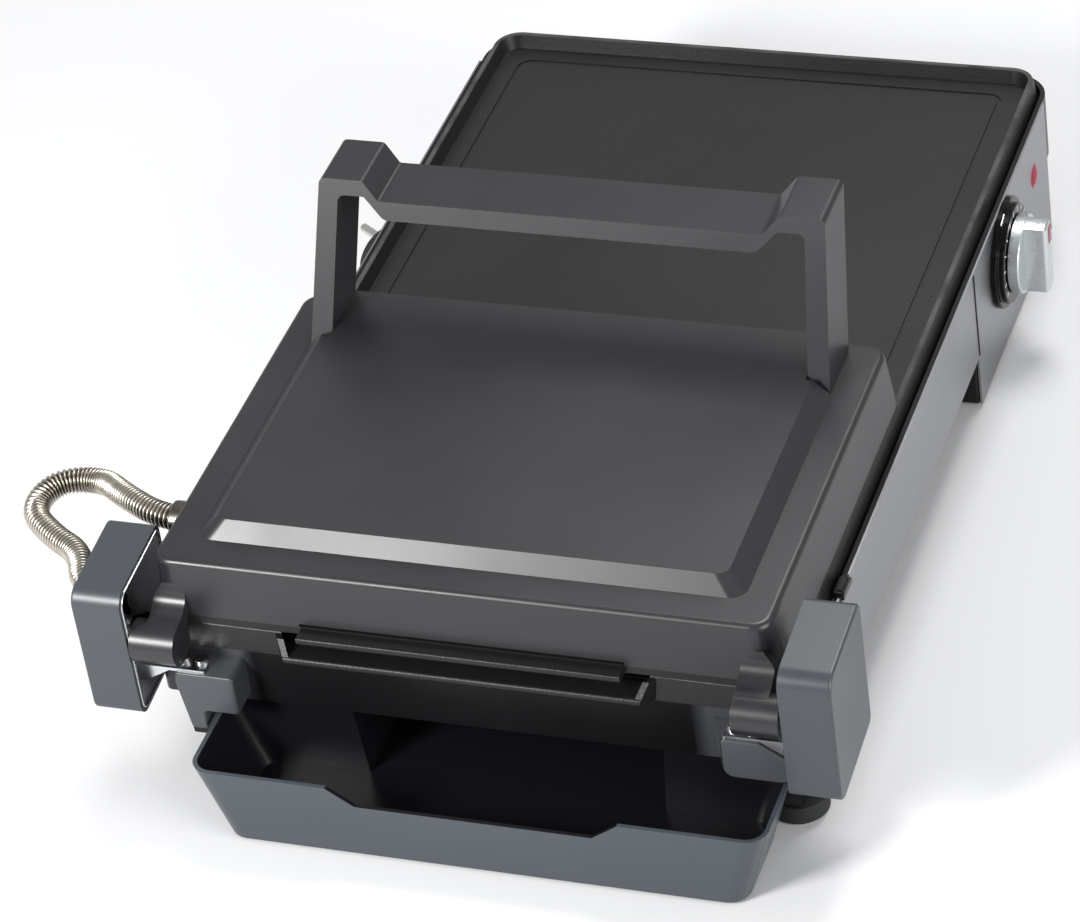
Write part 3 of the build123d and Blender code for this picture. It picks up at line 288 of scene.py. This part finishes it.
plasticLooks = {
    "lid_plastic": {"dark": (0.012, 0.0125, 0.014), "light": (0.017, 0.0175, 0.0195), "roughness": 0.34,
                    "specular": 0.5, "cloudScale": 9.0, "grainScale": 2600.0, "grain": 0.16},
    "handle_plastic": {"dark": (0.014, 0.0145, 0.016), "light": (0.018, 0.0185, 0.021), "roughness": 0.34,
                       "specular": 0.45, "cloudScale": 9.0, "grainScale": 2600.0, "grain": 0.16},
    "body_plastic": {"dark": (0.0045, 0.0045, 0.005), "light": (0.007, 0.007, 0.008), "roughness": 0.28,
                     "specular": 0.3, "cloudScale": 12.0, "grainScale": 2400.0, "grain": 0.1,
                     "endsPaintedLight": (0.055, 0.058, 0.066)},
    # Painted light: the arm cover's inside colour is lightened to stand in for light bouncing into the cover.
    "cover_plastic": {"dark": (0.034, 0.039, 0.046), "light": (0.041, 0.047, 0.055), "roughness": 0.38,
                      "specular": 0.5, "cloudScale": 10.0, "grainScale": 2200.0, "grain": 0.2,
                      "inside": (0.45, 0.46, 0.48), "middle": (-0.232, 0.164, 0.084), "rim": 0.1185},
    # Painted shade: the drip tray's inside colour is darkened to stand in for the shade that falls inside it.
    "tray_plastic": {"dark": (0.042, 0.050, 0.059), "light": (0.050, 0.059, 0.070), "roughness": 0.30,
                     "specular": 0.4, "cloudScale": 10.0, "grainScale": 2200.0, "grain": 0.1,
                     "inside": (0.006, 0.0055, 0.0075), "middle": (-0.262, -0.013, 0.060), "rim": 0.0416},
    "black_plastic": {"dark": (0.008, 0.008, 0.009), "light": (0.012, 0.012, 0.013), "roughness": 0.5,
                      "specular": 0.4, "cloudScale": 20.0, "grainScale": 2000.0, "grain": 0.2},
    "bezel_gloss": {"dark": (0.002, 0.002, 0.0022), "light": (0.003, 0.003, 0.0033), "roughness": 0.12,
                    "specular": 0.16, "cloudScale": 16.0, "grainScale": 900.0, "grain": 0.02},
    "foot_rubber": {"dark": (0.017, 0.018, 0.019), "light": (0.024, 0.025, 0.026), "roughness": 0.72,
                    "specular": 0.25, "cloudScale": 40.0, "grainScale": 1600.0, "grain": 0.4},
    "cord_rubber": {"dark": (0.010, 0.010, 0.010), "light": (0.015, 0.015, 0.015), "roughness": 0.5,
                    "specular": 0.4, "cloudScale": 30.0, "grainScale": 1800.0, "grain": 0.2},
}
dialPrint = {"dark": (0.62, 0.62, 0.62), "light": (0.74, 0.74, 0.74), "roughness": 0.5, "specular": 0.4,
             "cloudScale": 200.0, "grainScale": 3000.0, "grain": 0.1}
metalLooks = {
    "zinc_sheet": {"dark": (0.52, 0.53, 0.55), "light": (0.68, 0.69, 0.70), "roughness": 0.24,
                   "stretch": (1, 1, 1), "scale": 60.0, "depth": 0.1},
    "bright_sheet": {"dark": (0.62, 0.62, 0.62), "light": (0.74, 0.74, 0.74), "roughness": 0.24,
                     "stretch": (1, 1, 1), "scale": 40.0, "depth": 0.05},
    "element_steel": {"dark": (0.16, 0.155, 0.15), "light": (0.25, 0.24, 0.23), "roughness": 0.5,
                      "stretch": (1, 1, 1), "scale": 200.0, "depth": 0.2},
    "brushed_panel": {"dark": (0.25, 0.255, 0.265), "light": (0.33, 0.335, 0.345), "roughness": 0.34,
                      "stretch": (3, 60, 700), "scale": 3.0, "depth": 0.25},
    "pin_steel": {"dark": (0.50, 0.50, 0.50), "light": (0.64, 0.64, 0.64), "roughness": 0.26,
                  "stretch": (400, 40, 400), "scale": 3.0, "depth": 0.15},
    "conduit_nickel": {"dark": (0.42, 0.385, 0.325), "light": (0.56, 0.52, 0.45), "roughness": 0.30,
                       "stretch": (1, 1, 1), "scale": 160.0, "depth": 0.06, "groove": (0.035, 0.028, 0.02)},
    "prong_brass": {"dark": (0.62, 0.60, 0.56), "light": (0.74, 0.72, 0.68), "roughness": 0.22,
                    "stretch": (200, 200, 20), "scale": 4.0, "depth": 0.06},
    "knob_silver": {"dark": (0.60, 0.63, 0.635), "light": (0.68, 0.71, 0.715), "roughness": 0.32,
                    "stretch": (1, 1, 1), "scale": 500.0, "depth": 0.03},
}
nutLook = {"dark": (0.10, 0.09, 0.075), "light": (0.16, 0.145, 0.125), "roughness": 0.34,
           "stretch": (1, 1, 1), "scale": 160.0, "depth": 0.06}
coatingLook = {
    "colour": (0.0085, 0.0088, 0.0095), "fleck": (0.040, 0.041, 0.043), "fleckScale": 950.0,
    "pebbleScale": 800.0, "pebble": 0.35, "cloudScale": 14.0, "roughness": 0.40, "specular": 0.34,
    # Painted highlight: a pale band along the rim's top edge, in patches.
    "rimHighlightFrom": 0.0872, "rimHighlightTo": 0.088, "rimHighlightSoftness": 0.0002, "paintedRimHighlight": (0.055, 0.056, 0.058),
    "patchScale": 60.0,
}


def lensMaterial():
    # Translucent red plastic over a lamp.
    material, tree, shader = newMaterial("lens_red")
    vector = scaledCoordinates(tree, (1, 1, 1))
    facets = noise(tree, vector, 900.0, 2.0)
    tint = mixColour(tree, facets, (0.17, 0.004, 0.022), (0.30, 0.012, 0.045))
    tree.links.new(tint, shader.inputs["Base Color"])
    bump(tree, shader, facets, 0.15, 0.0002)
    shader.inputs["Roughness"].default_value = 0.16
    shader.inputs["Specular IOR Level"].default_value = 0.3
    return material


def lampMaterial():
    material, tree, shader = newMaterial("lamp_glass")
    vector = scaledCoordinates(tree, (1, 1, 1))
    tint = mixColour(tree, noise(tree, vector, 300.0), (0.7, 0.66, 0.6), (0.85, 0.82, 0.78))
    tree.links.new(tint, shader.inputs["Base Color"])
    shader.inputs["Roughness"].default_value = 0.08
    return material


def makeMaterials():
    looks = {name: plastic(name, settings) for name, settings in plasticLooks.items()}
    looks.update({name: brushedMetal(name, settings) for name, settings in metalLooks.items()})
    looks["griddle_coating"] = coatedMetal("griddle_coating", coatingLook)
    looks["conduit_nut"] = brushedMetal("conduit_nut", nutLook)
    looks["dial_print"] = plastic("dial_print", dialPrint)
    looks["lens_red"] = lensMaterial()
    looks["lamp_glass"] = lampMaterial()
    return looks


def dressNodes(looks):
    slots = {entry["node"]: entry["material_slot"] for entry in frame["record"]["subparts"]}
    for name, thing in frame["nodes"].items():
        for slot in thing.material_slots:
            slot.material = looks["conduit_nut" if "nut" in name else slots[name]]
    print("dressed nodes:", len(frame["nodes"]))


# Shared helpers for geometry node trees
def newTree(name, sockets):
    tree = bpy.data.node_groups.new(name, "GeometryNodeTree")
    tree.interface.new_socket("Geometry", in_out="INPUT", socket_type="NodeSocketGeometry")
    for label, kind in sockets:
        tree.interface.new_socket(label, in_out="INPUT", socket_type="NodeSocket" + kind)
    tree.interface.new_socket("Geometry", in_out="OUTPUT", socket_type="NodeSocketGeometry")
    tree.nodes.new("NodeGroupInput").name = "start"
    tree.nodes.new("NodeGroupOutput").name = "end"
    return tree


def finishTree(tree, geometry, material, smooth=True):
    # Smooth shading where it is asked for, instances made real and the material, as the last steps.
    if smooth:
        shade = tree.nodes.new("GeometryNodeSetShadeSmooth")
        tree.links.new(geometry, shade.inputs["Geometry"])
        geometry = shade.outputs["Geometry"]
    real = tree.nodes.new("GeometryNodeRealizeInstances")
    paint = tree.nodes.new("GeometryNodeSetMaterial")
    paint.inputs["Material"].default_value = material
    tree.links.new(geometry, real.inputs["Geometry"])
    tree.links.new(real.outputs["Geometry"], paint.inputs["Geometry"])
    tree.links.new(paint.outputs["Geometry"], tree.nodes["end"].inputs["Geometry"])


def madeMesh(name, source, tree, values):
    # Runs a tree on a source object and keeps the result as a plain mesh object.
    modifier = source.modifiers.new(tree.name, "NODES")
    modifier.node_group = tree
    for item in tree.interface.items_tree:
        if item.in_out == "INPUT" and item.name in values:
            modifier[item.identifier] = values[item.name]
    shown = source.evaluated_get(bpy.context.evaluated_depsgraph_get())
    data = bpy.data.meshes.new_from_object(shown)
    data.name = name
    bpy.data.objects.remove(source)
    return addObject(name, data)


# Cord
cordRadius = 0.0035
coilPitch = 7.6
cordLead = [(501, 104, 52), (544, 104, 52), (560, 90, 3.5), (593.5, 40, 3.5), (593.5, 8.3, 3.5)]
cordTail = [(502.9, 8.3, 10.5), (502.9, 38, 8), (486, 61, 4.5), (446, 65, 3.5), (405, 46, 3.5),
            (332.7, 35.4, 4), (309.2, 79.5, 10), (339.8, 125.2, 19), (354.8, 147.7, 19)]
coilSettings = {"edge": 593.5, "radius": 41.5, "steps": 8, "low": 3.5, "high": 11.1, "lowerHalves": 3,
                "halves": 7}


def coilPoints(settings):
    # Half turns that alternate between the two sides, closing in below and opening out above.
    points = []
    edge, side = settings["edge"], 1
    last = settings["halves"] - 1
    for i in range(settings["halves"]):
        radius = settings["radius"] - min(i, last - i) * coilPitch / 2
        centre = edge - side * radius
        wide = radius / math.cos(math.pi / settings["steps"] / 2)
        for k in range(settings["steps"]):
            share = (k + 0.5) / settings["steps"]
            turn = math.pi * (k + 0.5) / settings["steps"]
            rise = share if i == settings["lowerHalves"] else float(i > settings["lowerHalves"])
            height = settings["low"] + (settings["high"] - settings["low"]) * rise
            across = centre + side * wide * math.cos(turn)
            points.append((across, -side * wide * math.sin(turn), height))
        edge = centre - side * radius
        side = -side
    return points


def splineObject(name, points, radius, resolution):
    curve = bpy.data.curves.new(name, "CURVE")
    curve.dimensions = "3D"
    curve.resolution_u = resolution
    curve.bevel_depth = radius
    curve.bevel_resolution = 5
    curve.use_fill_caps = True
    spline = curve.splines.new("NURBS")
    spline.points.add(len(points) - 1)
    for target, point in zip(spline.points, points):
        target.co = (*place(*point), 1)
    spline.order_u = 3
    spline.use_endpoint_u = True
    return addObject(name, curve)


def addCord(looks):
    points = cordLead + coilPoints(coilSettings) + cordTail
    cord = splineObject("mains_cord", points, cordRadius, 6)
    cord.data.materials.append(looks["cord_rubber"])
    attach(cord, "base")
    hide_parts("cord")
    print("cord points:", len(points))


# Conduit
conduitRoute = [(46, 140.6, 108), (46, 160, 108), (64, 188, 104), (87, 209, 92), (83, 232, 92),
                (62, 238, 89.5), (45, 218, 89.5), (33, 199, 92), (7, 187, 94), (7, 173.9, 93)]
conduitSettings = {"Crest": 6.2 * mm, "Root": 5.0 * mm, "Pitch": 2.3 * mm, "Around": 32}
stepsPerRing = 8


def conduitTree(looks):
    # A hose along its spline whose radius rises and falls once for each ring.
    sockets = [("Crest", "Float"), ("Root", "Float"), ("Pitch", "Float"), ("Around", "Int")]
    tree = newTree("ribbedConduit", sockets)
    start = tree.nodes["start"]
    step = mathNode(tree, "DIVIDE", start.outputs["Pitch"], stepsPerRing)
    line = tree.nodes.new("GeometryNodeResampleCurve")
    line.mode = "LENGTH"
    tree.links.new(start.outputs["Geometry"], line.inputs["Curve"])
    tree.links.new(step, line.inputs["Length"])
    index = tree.nodes.new("GeometryNodeInputIndex")
    turn = mathNode(tree, "MULTIPLY", index.outputs["Index"], 2 * math.pi / stepsPerRing)
    wave = mathNode(tree, "MULTIPLY_ADD", mathNode(tree, "COSINE", turn), 0.5, 0.5)
    bulge = mathNode(tree, "POWER", wave, 0.7)
    note = tree.nodes.new("GeometryNodeStoreNamedAttribute")
    note.data_type = "FLOAT"
    note.domain = "POINT"
    note.inputs["Name"].default_value = "crest"
    tree.links.new(line.outputs["Curve"], note.inputs["Geometry"])
    tree.links.new(bulge, note.inputs["Value"])
    depth = mathNode(tree, "SUBTRACT", start.outputs["Crest"], start.outputs["Root"])
    radius = mathNode(tree, "MULTIPLY_ADD", bulge, depth, start.outputs["Root"])
    ring = tree.nodes.new("GeometryNodeCurvePrimitiveCircle")
    ring.inputs["Radius"].default_value = 1.0
    tree.links.new(start.outputs["Around"], ring.inputs["Resolution"])
    hose = tree.nodes.new("GeometryNodeCurveToMesh")
    tree.links.new(note.outputs["Geometry"], hose.inputs["Curve"])
    tree.links.new(ring.outputs["Curve"], hose.inputs["Profile Curve"])
    tree.links.new(radius, hose.inputs["Scale"])
    hose.inputs["Fill Caps"].default_value = True
    finishTree(tree, hose.outputs["Mesh"], looks["conduit_nickel"])
    return tree


def addConduit(looks):
    guide = splineObject("conduitGuide", conduitRoute, 0, 24)
    line = bpy.data.meshes.new_from_object(guide)
    conduit = madeMesh("ribbed_conduit", guide, conduitTree(looks), conduitSettings)
    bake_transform(conduit)
    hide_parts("conduit")


# Small details
def roundedLoop(corners, inset, steps=6):
    # The outline of a plate drawn in by inset, each corner turned in its own round.
    loop = []
    for i, (x, z, radius) in enumerate(corners):
        before = Vector(corners[i - 1][:2])
        after = Vector(corners[(i + 1) % len(corners)][:2])
        corner = Vector((x, z))
        back, ahead = (before - corner).normalized(), (after - corner).normalized()
        half = back.angle(ahead) / 2
        middle = corner + (back + ahead).normalized() * radius / math.sin(half)
        small = radius - inset
        first = (corner + back * radius / math.tan(half)) - middle
        last = (corner + ahead * radius / math.tan(half)) - middle
        turn = first.angle_signed(last)
        for k in range(steps + 1):
            share = -turn * k / steps
            cosine, sine = math.cos(share), math.sin(share)
            arm = Vector((first.x * cosine - first.y * sine, first.x * sine + first.y * cosine))
            loop.append(tuple(middle + arm.normalized() * small))
    return loop


plateBevel = 0.3


def plateMesh(name, settings, slot, looks, body):
    # A thin plate on a side face, from its outline in x and z, with its edges broken.
    data = bpy.data.meshes.new(name)
    work = bmesh.new()
    near = [work.verts.new(place(x, settings["near"], z)) for x, z in settings["outline"]]
    far = [work.verts.new(place(x, settings["far"], z)) for x, z in settings["outline"]]
    work.faces.new(near)
    work.faces.new(far[::-1])
    for i in range(len(near)):
        j = (i + 1) % len(near)
        work.faces.new((near[i], far[i], far[j], near[j]))
    bmesh.ops.recalc_face_normals(work, faces=work.faces)
    depth = abs(settings["near"] - settings["far"]) * mm
    bmesh.ops.bevel(work, geom=list(work.edges), offset=depth * plateBevel, segments=2, affect="EDGES",
                    clamp_overlap=True)
    bmesh.ops.recalc_face_normals(work, faces=work.faces)
    work.to_mesh(data)
    work.free()
    for polygon in data.polygons:
        polygon.use_smooth = False
    data.materials.append(looks[slot])
    thing = addObject(name, data)
    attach(thing, body)


def beadTree(material):
    # A round bead along a closed line.
    tree = newTree("bead", [("Radius", "Float"), ("Around", "Int")])
    start = tree.nodes["start"]
    ring = tree.nodes.new("GeometryNodeCurvePrimitiveCircle")
    tree.links.new(start.outputs["Radius"], ring.inputs["Radius"])
    tree.links.new(start.outputs["Around"], ring.inputs["Resolution"])
    bead = tree.nodes.new("GeometryNodeCurveToMesh")
    tree.links.new(start.outputs["Geometry"], bead.inputs["Curve"])
    tree.links.new(ring.outputs["Curve"], bead.inputs["Profile Curve"])
    finishTree(tree, bead.outputs["Mesh"], material)
    return tree


coverOutline = [(29.5, 120.0, 4.0), (-22.4, 115.6, 9.0), (-22.4, 45.3, 6.0), (29.5, 51.5, 5.0)]
coverOpening = 153.8
lipSettings = {"inset": 2.7, "radius": 0.65, "proud": 0.7, "slot": "zinc_sheet"}
# Painted shadow: a dark strip for the shadow gap along the cover's edge.
shadowGapSettings = {"inset": 1.35, "radius": 0.55, "proud": 0.05, "slot": "body_plastic"}
beadSides = 10


def addCoverTrim(looks):
    # A bright lip round the opening of each arm cover, and beside it a dark strip that is painted shadow: it
    # stands in for the shadow in the gap at the cover's edge.
    for side, word in ((1, "left"), (-1, "right")):
        for label, settings in (("lip", lipSettings), ("painted_shadow_gap", shadowGapSettings)):
            curve = bpy.data.curves.new(label, "CURVE")
            curve.dimensions = "3D"
            line = curve.splines.new("POLY")
            loop = roundedLoop(coverOutline, settings["inset"])
            line.points.add(len(loop) - 1)
            depth = side * (coverOpening + settings["radius"] - settings["proud"])
            for point, (x, z) in zip(line.points, loop):
                point.co = (*place(x, depth, z), 1)
            line.use_cyclic_u = True
            guide = addObject(label, curve)
            values = {"Radius": settings["radius"] * mm, "Around": beadSides}
            tree = beadTree(looks[settings["slot"]])
            trim = madeMesh(f"cover_{label}_{word}", guide, tree, values)
            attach(trim, "base")
    print("cover trim done")


dial = {"x": 381.0, "z": 53.0, "face": -159.5}
tickSettings = {"Ticks": 13, "Span": math.radians(240), "Reach": 23.0 * mm, "Length": 2.8 * mm,
                "Width": 0.6 * mm}
tickHeight = 0.3 * mm
knobMark = {"outline": [(380.0, 61.0), (384.4, 61.0), (384.4, 70.5), (380.0, 70.5)],
            "near": -176.9, "far": -177.25}
ringWindow = {"outline": [(367.5, 78.6), (374.5, 81.1), (376.0, 76.9), (369.6, 74.6)],
              "near": -156.4, "far": -156.9}


def tickTree(material):
    # Short bars set round the dial, evenly over the knob's travel.
    sockets = [("Ticks", "Int"), ("Span", "Float"), ("Reach", "Float"), ("Length", "Float"),
               ("Width", "Float")]
    tree = newTree("dialTicks", sockets)
    start = tree.nodes["start"]
    row = tree.nodes.new("GeometryNodeMeshLine")
    tree.links.new(start.outputs["Ticks"], row.inputs["Count"])
    row.inputs["Offset"].default_value = (0, 0, 0)
    row.inputs["Start Location"].default_value = place(dial["x"], dial["face"], dial["z"])
    bar = tree.nodes.new("GeometryNodeMeshCube")
    size = tree.nodes.new("ShaderNodeCombineXYZ")
    tree.links.new(start.outputs["Width"], size.inputs["X"])
    size.inputs["Y"].default_value = tickHeight
    tree.links.new(start.outputs["Length"], size.inputs["Z"])
    tree.links.new(size.outputs["Vector"], bar.inputs["Size"])
    shift = tree.nodes.new("GeometryNodeTransform")
    away = tree.nodes.new("ShaderNodeCombineXYZ")
    tree.links.new(start.outputs["Reach"], away.inputs["Z"])
    tree.links.new(bar.outputs["Mesh"], shift.inputs["Geometry"])
    tree.links.new(away.outputs["Vector"], shift.inputs["Translation"])
    index = tree.nodes.new("GeometryNodeInputIndex")
    gaps = mathNode(tree, "SUBTRACT", start.outputs["Ticks"], 1)
    share = mathNode(tree, "DIVIDE", index.outputs["Index"], gaps)
    angle = mathNode(tree, "MULTIPLY", mathNode(tree, "SUBTRACT", share, 0.5), start.outputs["Span"])
    turn = tree.nodes.new("ShaderNodeCombineXYZ")
    tree.links.new(angle, turn.inputs["Y"])
    spread = tree.nodes.new("GeometryNodeInstanceOnPoints")
    tree.links.new(row.outputs["Mesh"], spread.inputs["Points"])
    tree.links.new(shift.outputs["Geometry"], spread.inputs["Instance"])
    tree.links.new(turn.outputs["Vector"], spread.inputs["Rotation"])
    finishTree(tree, spread.outputs["Instances"], material, smooth=False)
    return tree


def addDialDetails(looks):
    holder = addObject("dialTicks", bpy.data.meshes.new("dialTicks"))
    ticks = madeMesh("dial_ticks", holder, tickTree(looks["dial_print"]), tickSettings)
    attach(ticks, "base")
    plateMesh("knob_mark", knobMark, "lens_red", looks, "knob")
    plateMesh("ring_window", ringWindow, "knob_silver", looks, "base")
    print("dial details done")


panelSeam = {"outline": [(322.4, 79.5), (323.9, 79.5), (324.7, 31.0), (323.2, 31.0)],
             "near": -153.4, "far": -153.9}
ledgeClip = {"outline": [(74.0, 77.2), (90.0, 77.2), (90.0, 81.6), (88.0, 83.0), (76.0, 83.0), (74.0, 81.6)],
             "near": -150.0, "far": -155.2}
# Painted shade: a dark plate in the outline of the slot inside the arm cover stands in for the shade in the
# opening.
coverSlotShade = {"outline": [(15.0, 90.0), (22.0, 92.0), (26.0, 90.0), (26.0, 62.0), (24.0, 60.0), (18.0, 60.0),
                         (14.0, 64.0), (14.0, 88.0)], "near": 175.9, "far": 175.3}
coverSlotBar = {"outline": [(23.6, 86.0), (25.2, 86.0), (25.2, 66.0), (23.6, 66.0)],
                "near": 175.4, "far": 174.4}


def addPanelDetails(looks):
    plateMesh("panel_seam", panelSeam, "body_plastic", looks, "base")
    plateMesh("ledge_clip", ledgeClip, "body_plastic", looks, "base")
    plateMesh("cover_slot_shade", coverSlotShade, "body_plastic", looks, "base")
    plateMesh("cover_slot_bar", coverSlotBar, "bright_sheet", looks, "base")
    print("panel details done")


# Stage and light
floorSettings = {"size": 14, "scale": 0.6, "dark": (0.66, 0.66, 0.665), "light": (0.695, 0.695, 0.70),
                 "roughness": 0.6}
worldSettings = {"colour": (0.96, 0.98, 1.0), "strength": 0.50}
lightSettings = [
    {"name": "hingeSideLight", "location": (-1.24, 0.72, 0.84), "aim": (-0.24, 0, 0.13), "size": 0.37,
     "power": 28.0},
    {"name": "highLight", "location": (0.95, -0.15, 1.9), "aim": (-0.15, 0, 0.1), "size": 0.8, "power": 27.0},
    {"name": "knobSideLight", "location": (-0.9, -2.0, 0.75), "aim": (0.0, 0, 0.05), "size": 1.2,
     "power": 38.0},
]


def addStage():
    bpy.ops.mesh.primitive_plane_add(size=floorSettings["size"], location=(0, 0, 0))
    floor = bpy.context.object
    floor.name = "paleFloor"
    material, tree, shader = newMaterial("paleFloor")
    vector = scaledCoordinates(tree, (1, 1, 1))
    cloud = noise(tree, vector, floorSettings["scale"])
    tint = mixColour(tree, cloud, floorSettings["dark"], floorSettings["light"])
    tree.links.new(tint, shader.inputs["Base Color"])
    shader.inputs["Roughness"].default_value = floorSettings["roughness"]
    floor.data.materials.append(material)


def addLight():
    world = bpy.data.worlds.new("studioWorld")
    bpy.context.scene.world = world
    world.use_nodes = True
    sky = world.node_tree.nodes["Background"]
    sky.inputs["Color"].default_value = (*worldSettings["colour"], 1)
    sky.inputs["Strength"].default_value = worldSettings["strength"]
    for settings in lightSettings:
        data = bpy.data.lights.new(settings["name"], "AREA")
        data.shape = "SQUARE"
        data.size = settings["size"]
        data.energy = settings["power"]
        light = addObject(settings["name"], data)
        light.location = settings["location"]
        aim = Vector(settings["aim"]) - Vector(settings["location"])
        light.rotation_euler = aim.to_track_quat("-Z", "Y").to_euler()


addCamera(cameraSettings)
looks = makeMaterials()
dressNodes(looks)
addCord(looks)
addConduit(looks)
addCoverTrim(looks)
addDialDetails(looks)
addPanelDetails(looks)
addStage()
addLight()
bpy.context.scene.view_settings.view_transform = "Standard"
